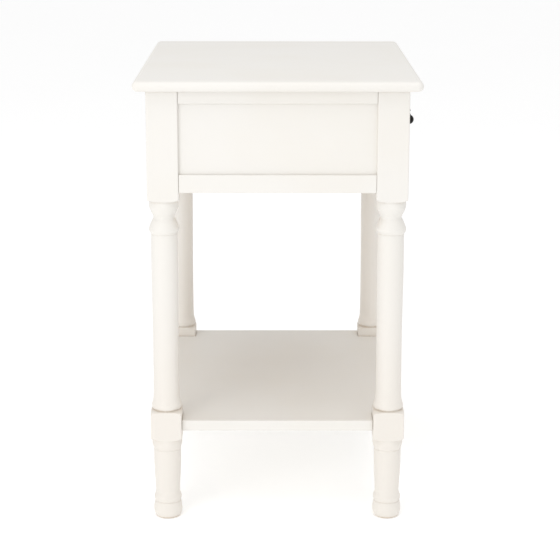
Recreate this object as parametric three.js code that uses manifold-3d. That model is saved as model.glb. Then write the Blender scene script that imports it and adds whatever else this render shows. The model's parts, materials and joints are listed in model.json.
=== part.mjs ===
// Side table with one drawer and a lower shelf, on four turned legs.
// Millimetres, +Z up. The drawer opens towards -Y. Left is -X, right is +X.

import * as THREE from 'three';
import { mergeVertices } from 'three/addons/utils/BufferGeometryUtils.js';
import Module from 'manifold-3d';

// ---- overall sizes ----
const HEIGHT = 620;
const TOP_WIDTH = 500;
const TOP_DEPTH = 385;
const TOP_THICK = 14;
const TOP_OVERHANG = 17;
const TOP_CORNER = 6;
const TOP_NOSE = 6.5;

// ---- legs ----
const LEG_SQUARE = 42.5;
const TOP_BLOCK = 150.5;
const LOWER_BLOCK_FOOT = 116.5;
const LOWER_BLOCK = 41.5;
const SHAFT_R = 18.2;
const SHAFT_LOW_R = 17.6;
const NECK_R = 14.5;
const RING_R = 20.8;
const ANKLE_R = 16.9;
const BULB_R = 19.9;
const FOOT_FLAT_R = 16;

// ---- apron: rails and panels between the legs ----
const APRON_DROP = 138;
const TOP_RAIL = 17.5;
const BOTTOM_RAIL = 24.5;
const RAIL_THICK = 20;
const RAIL_SETBACK = 1.5;
const TENON_THICK = 8;
const TENON_LONG = 15;
const TENON_SHOULDER = 3;
const PANEL_THICK = 6;
const PANEL_RECESS = 4;
const PANEL_TONGUE = 5;

// ---- lower shelf ----
const SHELF_THICK = 15;
const SHELF_RISE = 13;
const SHELF_INSET = 7.5;
const DOWEL_R = 4;
const DOWEL_IN = 15;

// ---- drawer and its runners ----
const DRAWER_DEEP = 285;
const DRAWER_REVEAL = 2;
const DRAWER_FRONT_THICK = 18;
const DRAWER_SIDE_THICK = 12;
const DRAWER_SIDE_HIGH = 80;
const DRAWER_BACK_THICK = 12;
const DRAWER_BACK_INSET = 4;
const DRAWER_BOTTOM_THICK = 5;
const DRAWER_BOTTOM_RISE = 6;
const DRAWER_GROOVE = 6;
const DRAWER_LAP = 8;
const GUIDE_PLAY = 1;
const LEDGE_PLAY = 0.5;
const KICKER_PLAY = 1.5;
const LEDGE_WIDE = 16;
const LEDGE_HIGH = 18;
const GUIDE_RISE = 18;
const STOP_LONG = 12;
const STOP_HIGH = 15;
const STOP_PLAY = 0.5;

// ---- drop pull ----
const PULL_RISE = 5.5;
const PIVOT_REACH = 19.5;
const ROSETTE_R = 14;
const ROSETTE_THICK = 3;
const POST_R = 3;
const SHANK_R = 2;
const SHANK_PROUD = 7;
const KNUCKLE_R = 1.8;
const CHEEK_THICK = 2;
const EYE_WIDE = 4;
const PIN_R = 0.8;
const FORK_DEEP = 4;
const DROP = 14;
const BALL_R = 7;
const NUT_R = 4;
const NUT_THICK = 3.2;
const WASHER_R = 5;
const WASHER_THICK = 1;

// ---- screws ----
const SCREW_R = 2;
const SCREW_HEAD_R = 4;
const SCREW_HEAD_HIGH = 2.6;
const SCREW_BITE_TOP = 8;
const SCREW_BITE_RAIL = 12;
const SCREW_SPREAD = 90;

// ---- working values ----
const GAP = 0.3;
const OVERCUT = 1;
const LEG_SIDES = 16;
const ROUND_SIDES = 12;
const PULL_SIDES = 16;
const CURVE_STEPS = 3;
const WELD = 1e-4;

// ---- places worked out from the sizes, with the table centred on x = y = 0 ----
const underside = HEIGHT - TOP_THICK;
const halfLeg = LEG_SQUARE / 2;
const legOuter = { x: TOP_WIDTH / 2 - TOP_OVERHANG, y: TOP_DEPTH / 2 - TOP_OVERHANG };
const legInner = { x: legOuter.x - LEG_SQUARE, y: legOuter.y - LEG_SQUARE };
const legAxis = { x: legOuter.x - halfLeg, y: legOuter.y - halfLeg };
const railOuter = { x: legOuter.x - RAIL_SETBACK, y: legOuter.y - RAIL_SETBACK };
const railInner = { x: railOuter.x - RAIL_THICK, y: railOuter.y - RAIL_THICK };
const frameTop = underside - GAP;
const topRailFoot = underside - TOP_RAIL;
const apronFoot = underside - APRON_DROP;
const bottomRailTop = apronFoot + BOTTOM_RAIL;
const shelfFoot = LOWER_BLOCK_FOOT + SHELF_RISE;
const shelfTop = shelfFoot + SHELF_THICK;

const drawerHalf = legInner.x - DRAWER_REVEAL;
const drawerFoot = bottomRailTop + DRAWER_REVEAL;
const drawerFrontTop = topRailFoot - DRAWER_REVEAL;
const drawerFace = -railOuter.y;
const drawerFrontBack = drawerFace + DRAWER_FRONT_THICK;
const drawerEnd = drawerFace + DRAWER_DEEP;
const drawerSideTop = drawerFoot + DRAWER_SIDE_HIGH;
const drawerSideInner = drawerHalf - DRAWER_SIDE_THICK;
const bottomPanelFoot = drawerFoot + DRAWER_BOTTOM_RISE;
const bottomPanelTop = bottomPanelFoot + DRAWER_BOTTOM_THICK;
const drawerBackEnd = drawerEnd - DRAWER_BACK_INSET;
const ledgeTop = drawerFoot - LEDGE_PLAY;
const guideInner = drawerHalf + GUIDE_PLAY;
const kickerFoot = drawerSideTop + KICKER_PLAY;

const pullZ = (drawerFoot + drawerFrontTop) / 2 + PULL_RISE;
const pivotY = drawerFace - PIVOT_REACH;
// The pull stands out past the front edge of the top, so the whole is centred on both.
const frontReach = Math.max(TOP_DEPTH / 2, BALL_R - pivotY);
const centreShift = (frontReach - TOP_DEPTH / 2) / 2;

const PAINT = { color: 0xf3efe6, roughness: 0.5, metalness: 0 };
const BARE_WOOD = { color: 0xd9bd92, roughness: 0.7, metalness: 0 };
const DOWEL_WOOD = { color: 0xc9a878, roughness: 0.75, metalness: 0 };
const DARK_METAL = { color: 0x1c1a19, roughness: 0.3, metalness: 0.9 };
const STEEL = { color: 0x9a9a98, roughness: 0.4, metalness: 1 };

const wasm = await Module();
wasm.setup();

// ---- solids ----

/** Turns a closed geometry into a solid, with shared corners and faces pointing out. */
function toSolid(geometry) {
  const bare = geometry.clone();
  bare.deleteAttribute('normal');
  bare.deleteAttribute('uv');
  const welded = mergeVertices(bare, WELD);
  const index = welded.index.array;
  const place = welded.attributes.position;
  const corner = [new THREE.Vector3(), new THREE.Vector3(), new THREE.Vector3()];
  const kept = [];
  let volume = 0;
  for (let i = 0; i < index.length; i += 3) {
    const [a, b, c] = [index[i], index[i + 1], index[i + 2]];
    if (a === b || b === c || c === a) continue;
    kept.push(a, b, c);
    [a, b, c].forEach((v, k) => corner[k].fromBufferAttribute(place, v));
    volume += corner[0].dot(corner[1].cross(corner[2])) / 6;
  }
  if (volume < 0) kept.reverse();
  return new wasm.Manifold(new wasm.Mesh({
    numProp: 3,
    vertProperties: new Float32Array(place.array),
    triVerts: new Uint32Array(kept),
  }));
}

/** A block between two opposite corners, given as [from, to] along each axis in any order. */
function block([x0, x1], [y0, y1], [z0, z1]) {
  const box = new THREE.BoxGeometry(Math.abs(x1 - x0), Math.abs(y1 - y0), Math.abs(z1 - z0));
  box.translate((x0 + x1) / 2, (y0 + y1) / 2, (z0 + z1) / 2);
  return toSolid(box);
}

/** A round bar from one point to another; with two radii it is a cone. */
function bar(from, to, radius, endRadius = radius, sides = ROUND_SIDES) {
  const start = new THREE.Vector3(...from);
  const run = new THREE.Vector3(...to).sub(start);
  const shape = new THREE.CylinderGeometry(endRadius, radius, run.length(), sides);
  const up = new THREE.Vector3(0, 1, 0);
  shape.applyQuaternion(new THREE.Quaternion().setFromUnitVectors(up, run.clone().normalize()));
  const middle = start.addScaledVector(run, 0.5);
  shape.translate(middle.x, middle.y, middle.z);
  return toSolid(shape);
}

/** A profile of radius against height, turned about an upright axis that passes through a place. */
function turned(profile, sides, [x, y, z]) {
  const shape = new THREE.LatheGeometry(profile, sides);
  shape.rotateX(Math.PI / 2);
  shape.translate(x, y, z);
  return toSolid(shape);
}

/** A countersunk screw whose head sits flush at one end. */
function screw(head, point) {
  const run = new THREE.Vector3(...point).sub(new THREE.Vector3(...head)).normalize();
  const neck = new THREE.Vector3(...head).addScaledVector(run, SCREW_HEAD_HIGH);
  const cone = bar(head, neck.toArray(), SCREW_HEAD_R, SCREW_R);
  return cone.add(bar(neck.addScaledVector(run, -GAP).toArray(), point, SCREW_R));
}

/** The countersunk hole that such a screw sits in, a little larger all over. */
function screwHole(head, point) {
  const run = new THREE.Vector3(...point).sub(new THREE.Vector3(...head)).normalize();
  const mouth = new THREE.Vector3(...head).addScaledVector(run, -OVERCUT);
  const neck = new THREE.Vector3(...head).addScaledVector(run, SCREW_HEAD_HIGH + GAP);
  const end = new THREE.Vector3(...point).addScaledVector(run, GAP);
  const wide = SCREW_HEAD_R + OVERCUT + GAP;
  return bar(mouth.toArray(), neck.toArray(), wide, SCREW_R + GAP)
    .add(bar(head, end.toArray(), SCREW_R + GAP));
}

const table = new THREE.Group();
table.position.y = centreShift;

/** Adds one named piece to the table. */
function piece(name, solid, finish) {
  const cut = solid.getMesh();
  const geometry = new THREE.BufferGeometry();
  geometry.setAttribute('position', new THREE.BufferAttribute(new Float32Array(cut.vertProperties), 3));
  geometry.setIndex(new THREE.BufferAttribute(new Uint32Array(cut.triVerts), 1));
  geometry.computeVertexNormals();
  const mesh = new THREE.Mesh(geometry, new THREE.MeshStandardMaterial({ ...finish, flatShading: true }));
  mesh.name = name;
  table.add(mesh);
}

const SIDES = [['left', -1], ['right', 1]];
const ENDS = [['front', -1], ['back', 1]];

// ---- joints between rails and legs ----

const tenonZ = {
  top: [topRailFoot + PANEL_TONGUE + GAP + 1, frameTop - TENON_SHOULDER],
  bottom: [apronFoot + TENON_SHOULDER, bottomRailTop - PANEL_TONGUE - GAP - 1],
};
const railZ = { top: [topRailFoot, frameTop], bottom: [apronFoot, bottomRailTop] };
const tenonInset = (RAIL_THICK - TENON_THICK) / 2;
const panelZ = [bottomRailTop - PANEL_TONGUE, topRailFoot + PANEL_TONGUE];

/** The two faces of a tenon across the rail, on the axis given. */
function tenonAcross(axis, side) {
  const outer = railOuter[axis] - tenonInset;
  return [side * outer, side * (outer - TENON_THICK)];
}

/** The two faces of a panel across its rails, on the axis given. */
function panelAcross(axis, side, play = 0) {
  const outer = railOuter[axis] - PANEL_RECESS;
  return [side * (outer + play), side * (outer - PANEL_THICK - play)];
}

function widen([low, high], play) {
  return low < high ? [low - play, high + play] : [low + play, high - play];
}

// ---- legs ----

/** The outline of a whole leg, turned from a square blank; radius against height. */
function legProfile() {
  const uncut = LEG_SQUARE * Math.SQRT1_2 + OVERCUT;
  const blockTop = LOWER_BLOCK_FOOT + LOWER_BLOCK;
  const blockFoot = underside - TOP_BLOCK;
  const line = new THREE.Path();
  line.moveTo(0, 0);
  line.lineTo(FOOT_FLAT_R, 0);
  // Rounded foot, a groove and a small bead over it.
  line.quadraticCurveTo(BULB_R - 0.4, 1.5, BULB_R, 9);
  line.quadraticCurveTo(BULB_R, 18, SHAFT_R, 22.2);
  line.quadraticCurveTo(BULB_R, 29, ANKLE_R, 37);
  // Lower shaft, thicker towards the block, then a flared collar.
  line.lineTo(SHAFT_R + 0.7, LOWER_BLOCK_FOOT - 17);
  line.quadraticCurveTo(SHAFT_R + 1, LOWER_BLOCK_FOOT - 11, halfLeg - 0.2, LOWER_BLOCK_FOOT - 8);
  line.lineTo(halfLeg, LOWER_BLOCK_FOOT);
  line.quadraticCurveTo(halfLeg + 6, LOWER_BLOCK_FOOT + 0.5, uncut, LOWER_BLOCK_FOOT + 7);
  line.lineTo(uncut, blockTop - 5);
  line.quadraticCurveTo(halfLeg + 6, blockTop - 0.5, halfLeg, blockTop);
  // Ring over the block and the long shaft, which swells towards the top.
  line.lineTo(halfLeg - 2, blockTop + 1);
  line.quadraticCurveTo(halfLeg - 0.2, blockTop + 2, halfLeg - 0.5, blockTop + 8);
  line.quadraticCurveTo(SHAFT_R + 0.3, blockTop + 11.5, SHAFT_LOW_R, blockTop + 18);
  line.lineTo(SHAFT_R, (blockTop + blockFoot) / 2 + 10);
  line.lineTo(SHAFT_R, blockFoot - 49);
  // Ring, necked vase and collar under the top block.
  line.quadraticCurveTo(RING_R - 1, blockFoot - 46, RING_R, blockFoot - 40);
  line.quadraticCurveTo(NECK_R + 2, blockFoot - 33, NECK_R, blockFoot - 24);
  line.quadraticCurveTo(NECK_R + 2, blockFoot - 18, halfLeg - 1.4, blockFoot - 11);
  line.lineTo(halfLeg - 1, blockFoot - 5);
  line.quadraticCurveTo(halfLeg - 0.8, blockFoot - 1, halfLeg, blockFoot);
  line.quadraticCurveTo(halfLeg + 6, blockFoot + 0.5, uncut, blockFoot + 6);
  line.lineTo(uncut, frameTop);
  line.lineTo(0, frameTop);
  return line.getPoints(CURVE_STEPS);
}

/** The blind hole in a leg block, or in the shelf, for one shelf dowel. */
function dowelHole(side, end) {
  const z = (shelfFoot + shelfTop) / 2;
  const y = end * legAxis.y;
  const reach = DOWEL_IN + GAP;
  return bar([side * (legInner.x - reach), y, z], [side * (legInner.x + reach), y, z], DOWEL_R + GAP);
}

function leg(side, end) {
  const at = { x: side * legAxis.x, y: end * legAxis.y };
  const blank = block([at.x - halfLeg, at.x + halfLeg], [at.y - halfLeg, at.y + halfLeg], [-OVERCUT, HEIGHT]);
  let solid = turned(legProfile(), LEG_SIDES, [at.x, at.y, 0]).intersect(blank);
  const mouthX = side * (legInner.x - OVERCUT);
  const mouthY = end * (legInner.y - OVERCUT);
  const deepX = side * (legInner.x + TENON_LONG + GAP);
  const deepY = end * (legInner.y + TENON_LONG + GAP);
  for (const level of ['top', 'bottom']) {
    const tall = widen(tenonZ[level], GAP);
    solid = solid.subtract(block(widen(tenonAcross('x', side), GAP), [mouthY, deepY], tall));
    solid = solid.subtract(block([mouthX, deepX], widen(tenonAcross('y', end), GAP), tall));
  }
  const grooveX = side * (legInner.x + PANEL_TONGUE + GAP);
  const grooveY = end * (legInner.y + PANEL_TONGUE + GAP);
  const tall = widen(panelZ, GAP);
  solid = solid.subtract(block(panelAcross('x', side, GAP), [mouthY, grooveY], tall));
  if (end > 0) {
    solid = solid.subtract(block([mouthX, grooveX], panelAcross('y', end, GAP), tall));
  }
  return solid.subtract(dowelHole(side, end));
}

for (const [endName, end] of ENDS) {
  for (const [sideName, side] of SIDES) {
    piece(`leg_${endName}_${sideName}`, leg(side, end), PAINT);
  }
}

// ---- top ----

/** Head and point of a screw that holds the top down through a kicker. */
function topScrewEnds(side, end) {
  const x = side * (guideInner + railInner.x) / 2;
  const y = end * SCREW_SPREAD;
  return [[x, y, kickerFoot + GAP], [x, y, underside + SCREW_BITE_TOP]];
}

function tableTop() {
  const w = TOP_WIDTH / 2 - TOP_NOSE;
  const d = TOP_DEPTH / 2 - TOP_NOSE;
  const r = TOP_CORNER;
  const outline = new THREE.Shape();
  outline.absarc(w - r, d - r, r, 0, Math.PI / 2);
  outline.absarc(r - w, d - r, r, Math.PI / 2, Math.PI);
  outline.absarc(r - w, r - d, r, Math.PI, Math.PI * 1.5);
  outline.absarc(w - r, r - d, r, Math.PI * 1.5, Math.PI * 2);
  outline.closePath();
  const slab = new THREE.ExtrudeGeometry(outline, {
    depth: TOP_THICK - 2 * TOP_NOSE,
    bevelThickness: TOP_NOSE,
    bevelSize: TOP_NOSE,
    bevelSegments: CURVE_STEPS,
    curveSegments: CURVE_STEPS,
  });
  slab.translate(0, 0, underside + TOP_NOSE);
  return toSolid(slab);
}

let top = tableTop();
for (const [, side] of SIDES) {
  for (const [, end] of ENDS) {
    top = top.subtract(screwHole(...topScrewEnds(side, end)));
  }
}
piece('table_top', top, PAINT);

// ---- side frames: two rails and a recessed panel each ----

/** Head and point of a screw that holds a runner to its side rail. */
function runnerScrewEnds(side, end) {
  const z = (bottomRailTop + ledgeTop - LEDGE_HIGH) / 2;
  const y = end * SCREW_SPREAD;
  const head = side * (guideInner - LEDGE_WIDE + GAP);
  return [[head, y, z], [side * (railInner.x + SCREW_BITE_RAIL), y, z]];
}

/** A rail along Y between two legs, with its tenons and the groove for the panel. */
function sideRail(side, level) {
  const half = legInner.y - GAP;
  const reach = legInner.y + TENON_LONG;
  const across = [side * railOuter.x, side * railInner.x];
  let rail = block(across, [-half, half], railZ[level])
    .add(block(tenonAcross('x', side), [-reach, reach], tenonZ[level]));
  const grooveZ = level === 'top'
    ? [topRailFoot - OVERCUT, topRailFoot + PANEL_TONGUE + GAP]
    : [bottomRailTop - PANEL_TONGUE - GAP, bottomRailTop + OVERCUT];
  rail = rail.subtract(block(panelAcross('x', side, GAP), [-reach, reach], grooveZ));
  if (level === 'bottom') {
    for (const [, end] of ENDS) rail = rail.subtract(screwHole(...runnerScrewEnds(side, end)));
  }
  return rail;
}

/** A rail along X between two legs; only the back ones carry a panel groove. */
function crossRail(end, level) {
  const half = legInner.x - GAP;
  const reach = legInner.x + TENON_LONG;
  const across = [end * railOuter.y, end * railInner.y];
  const rail = block([-half, half], across, railZ[level])
    .add(block([-reach, reach], tenonAcross('y', end), tenonZ[level]));
  if (end < 0) return rail;
  const grooveZ = level === 'top'
    ? [topRailFoot - OVERCUT, topRailFoot + PANEL_TONGUE + GAP]
    : [bottomRailTop - PANEL_TONGUE - GAP, bottomRailTop + OVERCUT];
  return rail.subtract(block([-reach, reach], panelAcross('y', end, GAP), grooveZ));
}

for (const [sideName, side] of SIDES) {
  const reach = legInner.y + PANEL_TONGUE;
  piece(`side_rail_top_${sideName}`, sideRail(side, 'top'), PAINT);
  piece(`side_panel_${sideName}`, block(panelAcross('x', side), [-reach, reach], panelZ), PAINT);
  piece(`side_rail_bottom_${sideName}`, sideRail(side, 'bottom'), PAINT);
}

// ---- back frame and front rails ----

const backReach = legInner.x + PANEL_TONGUE;
piece('back_rail_top', crossRail(1, 'top'), PAINT);
piece('back_panel', block([-backReach, backReach], panelAcross('y', 1), panelZ), PAINT);
piece('back_rail_bottom', crossRail(1, 'bottom'), PAINT);
piece('front_rail_top', crossRail(-1, 'top'), PAINT);
piece('front_rail_bottom', crossRail(-1, 'bottom'), PAINT);

// ---- lower shelf on dowels ----

function shelf() {
  const x = legOuter.x - SHELF_INSET;
  const y = legOuter.y - SHELF_INSET;
  let board = block([-x, x], [-y, y], [shelfFoot, shelfTop]);
  for (const [, side] of SIDES) {
    for (const [, end] of ENDS) {
      const cutX = [side * (legInner.x - GAP), side * (x + OVERCUT)];
      const cutY = [end * (legInner.y - GAP), end * (y + OVERCUT)];
      board = board.subtract(block(cutX, cutY, [shelfFoot - OVERCUT, shelfTop + OVERCUT]));
      board = board.subtract(dowelHole(side, end));
    }
  }
  return board;
}

piece('lower_shelf', shelf(), PAINT);
for (const [endName, end] of ENDS) {
  for (const [sideName, side] of SIDES) {
    const z = (shelfFoot + shelfTop) / 2;
    const y = end * legAxis.y;
    const pin = bar([side * (legInner.x - DOWEL_IN), y, z], [side * (legInner.x + DOWEL_IN), y, z], DOWEL_R);
    piece(`shelf_dowel_${endName}_${sideName}`, pin, DOWEL_WOOD);
  }
}

// ---- drawer runners, kickers and stops, and the screws that hold them ----

for (const [sideName, side] of SIDES) {
  const outer = side * (railInner.x - GAP);
  const guideHalf = legInner.y - GAP;
  const ledgeHalf = railInner.y - GAP;
  const ledgeInner = side * (guideInner - LEDGE_WIDE);
  const ledgeZ = [ledgeTop - LEDGE_HIGH, ledgeTop];
  let runner = block([ledgeInner, side * (legInner.x - GAP)], [-ledgeHalf, ledgeHalf], ledgeZ)
    .add(block([ledgeInner, outer], [-guideHalf, guideHalf], ledgeZ))
    .add(block([side * guideInner, outer], [-guideHalf, guideHalf], [ledgeTop - LEDGE_HIGH, ledgeTop + GUIDE_RISE]));
  let kicker = block([ledgeInner, outer], [-guideHalf, guideHalf], [kickerFoot, frameTop]);
  for (const [endName, end] of ENDS) {
    const runnerEnds = runnerScrewEnds(side, end);
    const topEnds = topScrewEnds(side, end);
    runner = runner.subtract(screwHole(...runnerEnds));
    kicker = kicker.subtract(screwHole(...topEnds));
    piece(`runner_screw_${endName}_${sideName}`, screw(...runnerEnds), STEEL);
    piece(`top_screw_${endName}_${sideName}`, screw(...topEnds), STEEL);
  }
  piece(`drawer_runner_${sideName}`, runner, BARE_WOOD);
  piece(`drawer_kicker_${sideName}`, kicker, BARE_WOOD);
  const stopX = [side * (drawerHalf - DRAWER_SIDE_THICK), side * (drawerHalf - GAP)];
  const stopY = [drawerEnd + STOP_PLAY, drawerEnd + STOP_PLAY + STOP_LONG];
  piece(`drawer_stop_${sideName}`, block(stopX, stopY, [ledgeTop + GAP, ledgeTop + STOP_HIGH]), BARE_WOOD);
}

// ---- drawer box ----

/** The slot that the drawer's bottom panel slides in. */
const bottomSlotZ = widen([bottomPanelFoot, bottomPanelTop], GAP);
const lapY = drawerFrontBack - DRAWER_LAP;
const backPanelY = [drawerBackEnd - DRAWER_BACK_THICK, drawerBackEnd];
const bottomHalf = drawerSideInner + DRAWER_GROOVE - GAP;

function drawerFront() {
  const back = drawerFrontBack;
  let front = block([-drawerHalf, drawerHalf], [drawerFace, back], [drawerFoot, drawerFrontTop]);
  for (const [, side] of SIDES) {
    const lapX = [side * (drawerSideInner - GAP), side * (drawerHalf + OVERCUT)];
    const lapZ = [drawerFoot - OVERCUT, drawerSideTop + GAP];
    front = front.subtract(block(lapX, [lapY - GAP, back + OVERCUT], lapZ));
  }
  const slotY = [back - DRAWER_GROOVE - GAP, back + OVERCUT];
  front = front.subtract(block([-drawerSideInner, drawerSideInner], slotY, bottomSlotZ));
  const shankHole = bar([0, drawerFace - OVERCUT, pullZ], [0, back + OVERCUT, pullZ], SHANK_R + GAP);
  return front.subtract(shankHole);
}

function drawerSide(side) {
  const across = [side * drawerSideInner, side * drawerHalf];
  const inner = side * (drawerSideInner - OVERCUT);
  const slotDeep = side * (drawerSideInner + DRAWER_GROOVE);
  const housing = side * (drawerSideInner + DRAWER_BACK_INSET + GAP);
  return block(across, [lapY, drawerEnd], [drawerFoot, drawerSideTop])
    .subtract(block([inner, slotDeep], [lapY - OVERCUT, drawerEnd + OVERCUT], bottomSlotZ))
    .subtract(block([inner, housing], widen(backPanelY, GAP), [bottomPanelTop, drawerSideTop + OVERCUT]));
}

piece('drawer_front', drawerFront(), PAINT);
for (const [sideName, side] of SIDES) {
  piece(`drawer_side_${sideName}`, drawerSide(side), BARE_WOOD);
}
const backHalf = drawerSideInner + DRAWER_BACK_INSET;
const backZ = [bottomPanelTop + GAP, drawerSideTop - TENON_SHOULDER];
piece('drawer_back', block([-backHalf, backHalf], backPanelY, backZ), BARE_WOOD);
const bottomY = [drawerFrontBack - DRAWER_GROOVE, drawerBackEnd];
piece('drawer_bottom', block([-bottomHalf, bottomHalf], bottomY, [bottomPanelFoot, bottomPanelTop]), BARE_WOOD);

// ---- drop pull ----

/** A flat tab with a round end about the pivot, from the pivot towards the drawer. */
function tab(reach, from, to) {
  const outline = new THREE.Shape();
  outline.moveTo(reach, KNUCKLE_R);
  outline.absarc(0, 0, KNUCKLE_R, Math.PI / 2, Math.PI * 1.5);
  outline.lineTo(reach, -KNUCKLE_R);
  outline.closePath();
  const slab = new THREE.ExtrudeGeometry(outline, { depth: to - from, bevelEnabled: false, curveSegments: CURVE_STEPS * 2 });
  slab.applyMatrix4(new THREE.Matrix4().makeBasis(
    new THREE.Vector3(0, 1, 0),
    new THREE.Vector3(0, 0, 1),
    new THREE.Vector3(1, 0, 0),
  ));
  slab.translate(from, pivotY, pullZ);
  return toSolid(slab);
}

const pinHole = bar([-WASHER_R * 2, pivotY, pullZ], [WASHER_R * 2, pivotY, pullZ], PIN_R + GAP);
const cheekInner = EYE_WIDE / 2 + GAP;
const cheekOuter = cheekInner + CHEEK_THICK;

function pullPost() {
  const forkBack = pivotY + FORK_DEEP;
  const seat = drawerFace - ROSETTE_THICK - GAP;
  const tip = drawerFrontBack + SHANK_PROUD;
  return bar([0, forkBack, pullZ], [0, seat, pullZ], POST_R, POST_R + 1, PULL_SIDES)
    .add(bar([0, seat - GAP, pullZ], [0, tip, pullZ], SHANK_R))
    .add(block([-cheekOuter, cheekOuter], [forkBack, forkBack + CHEEK_THICK], [pullZ - KNUCKLE_R, pullZ + KNUCKLE_R]))
    .add(tab(FORK_DEEP + GAP, cheekInner, cheekOuter))
    .add(tab(FORK_DEEP + GAP, -cheekOuter, -cheekInner))
    .subtract(pinHole);
}

function rosette() {
  const face = drawerFace - GAP;
  return bar([0, face, pullZ], [0, face - ROSETTE_THICK / 2, pullZ], ROSETTE_R, ROSETTE_R, PULL_SIDES)
    .add(bar([0, face - ROSETTE_THICK / 2, pullZ], [0, drawerFace - ROSETTE_THICK, pullZ], ROSETTE_R, ROSETTE_R * 0.6, PULL_SIDES))
    .subtract(bar([0, drawerFace + OVERCUT, pullZ], [0, drawerFace - 2 * ROSETTE_THICK, pullZ], SHANK_R + GAP));
}

/** The pendant: an eye round the pin, a thin neck and a ball with a small tip. */
function pendant() {
  const line = new THREE.Path();
  const ballTop = BALL_R - DROP;
  line.moveTo(0, -DROP - BALL_R - 0.6);
  line.lineTo(1.5, -DROP - BALL_R + 0.2);
  line.absarc(0, -DROP, BALL_R, -Math.PI * 0.43, Math.PI * 0.38);
  line.lineTo(EYE_WIDE / 2 - 0.2, ballTop + 1);
  line.lineTo(EYE_WIDE / 2 - 0.4, -KNUCKLE_R + 0.4);
  line.lineTo(0, -KNUCKLE_R + 0.4);
  const drop = turned(line.getPoints(CURVE_STEPS * 2), PULL_SIDES, [0, pivotY, pullZ]);
  const half = EYE_WIDE / 2;
  const eye = bar([-half, pivotY, pullZ], [half, pivotY, pullZ], KNUCKLE_R, KNUCKLE_R, PULL_SIDES);
  return eye.add(drop).subtract(pinHole);
}

/** A ring on the shank inside the drawer front; with six sides it is a nut. */
function shankRing(from, thick, radius, sides) {
  const hole = bar([0, from - OVERCUT, pullZ], [0, from + thick + OVERCUT, pullZ], SHANK_R + GAP);
  return bar([0, from, pullZ], [0, from + thick, pullZ], radius, radius, sides).subtract(hole);
}

const washerFrom = drawerFrontBack + GAP;
const nutFrom = washerFrom + WASHER_THICK + GAP;
piece('pull_rosette', rosette(), DARK_METAL);
piece('pull_post', pullPost(), DARK_METAL);
piece('pull_pin', bar([-cheekOuter - GAP, pivotY, pullZ], [cheekOuter + GAP, pivotY, pullZ], PIN_R), DARK_METAL);
piece('pull_pendant', pendant(), DARK_METAL);
piece('pull_washer', shankRing(washerFrom, WASHER_THICK, WASHER_R, ROUND_SIDES), STEEL);
piece('pull_nut', shankRing(nutFrom, NUT_THICK, NUT_R, 6), STEEL);

export default table;
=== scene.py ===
"""Visual model of a painted side table with one drawer, turned legs and a lower shelf.

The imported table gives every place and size. Each class below makes one group of pieces, and each
finish makes one material. Lengths are metres, +Z is up and the drawer opens towards -Y.
"""

import functools
import json
import logging
from dataclasses import dataclass
from enum import Enum
from math import copysign, cos, pi, radians, sin, sqrt
from typing import Any, Iterable, Mapping, Sequence

import bmesh
import bpy
from bmesh.types import BMesh
from bpy.types import Camera, Light, Material, Mesh, NodeSocket, Object
from mathutils import Matrix, Vector


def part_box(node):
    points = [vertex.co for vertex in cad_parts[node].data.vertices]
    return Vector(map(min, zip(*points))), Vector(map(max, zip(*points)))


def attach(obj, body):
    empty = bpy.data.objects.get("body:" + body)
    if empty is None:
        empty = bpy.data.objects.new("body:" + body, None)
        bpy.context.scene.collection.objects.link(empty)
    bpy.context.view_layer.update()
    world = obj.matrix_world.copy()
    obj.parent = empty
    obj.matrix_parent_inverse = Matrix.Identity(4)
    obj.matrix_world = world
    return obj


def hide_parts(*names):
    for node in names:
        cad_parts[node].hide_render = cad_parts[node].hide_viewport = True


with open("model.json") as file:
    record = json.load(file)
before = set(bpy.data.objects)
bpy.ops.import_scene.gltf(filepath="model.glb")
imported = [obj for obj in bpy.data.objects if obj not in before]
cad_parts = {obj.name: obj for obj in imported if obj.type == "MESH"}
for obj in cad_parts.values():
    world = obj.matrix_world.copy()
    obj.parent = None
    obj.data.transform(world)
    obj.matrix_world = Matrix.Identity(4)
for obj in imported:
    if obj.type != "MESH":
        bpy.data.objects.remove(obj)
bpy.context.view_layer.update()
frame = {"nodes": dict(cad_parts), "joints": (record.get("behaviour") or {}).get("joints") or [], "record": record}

log = logging.getLogger("side_table")

Colour = tuple[float, float, float]
Place = tuple[float, float, float]
Ring = list[Vector]
Line = Sequence[tuple[float, float]]

MM = 0.001
TURN = 2 * pi
WHITE = (1.0, 1.0, 1.0, 1.0)
SAME_PLACE = 0.01 * MM
SAME_PLANE = radians(1)
CORNER = radians(50)
SIDE_NAMES = {"left": -1, "right": 1}
END_NAMES = {"front": -1, "back": 1}


# ---- shading


class Axis(Enum):
    """The way that brush marks or wood grain run."""

    X = 0
    Y = 1
    Z = 2

    def stretch(self, along: float, across: float) -> tuple[float, float, float]:
        """Texture scale on each axis: `along` on this one and `across` on the others."""
        return tuple(along if i == self.value else across for i in range(3))


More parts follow.
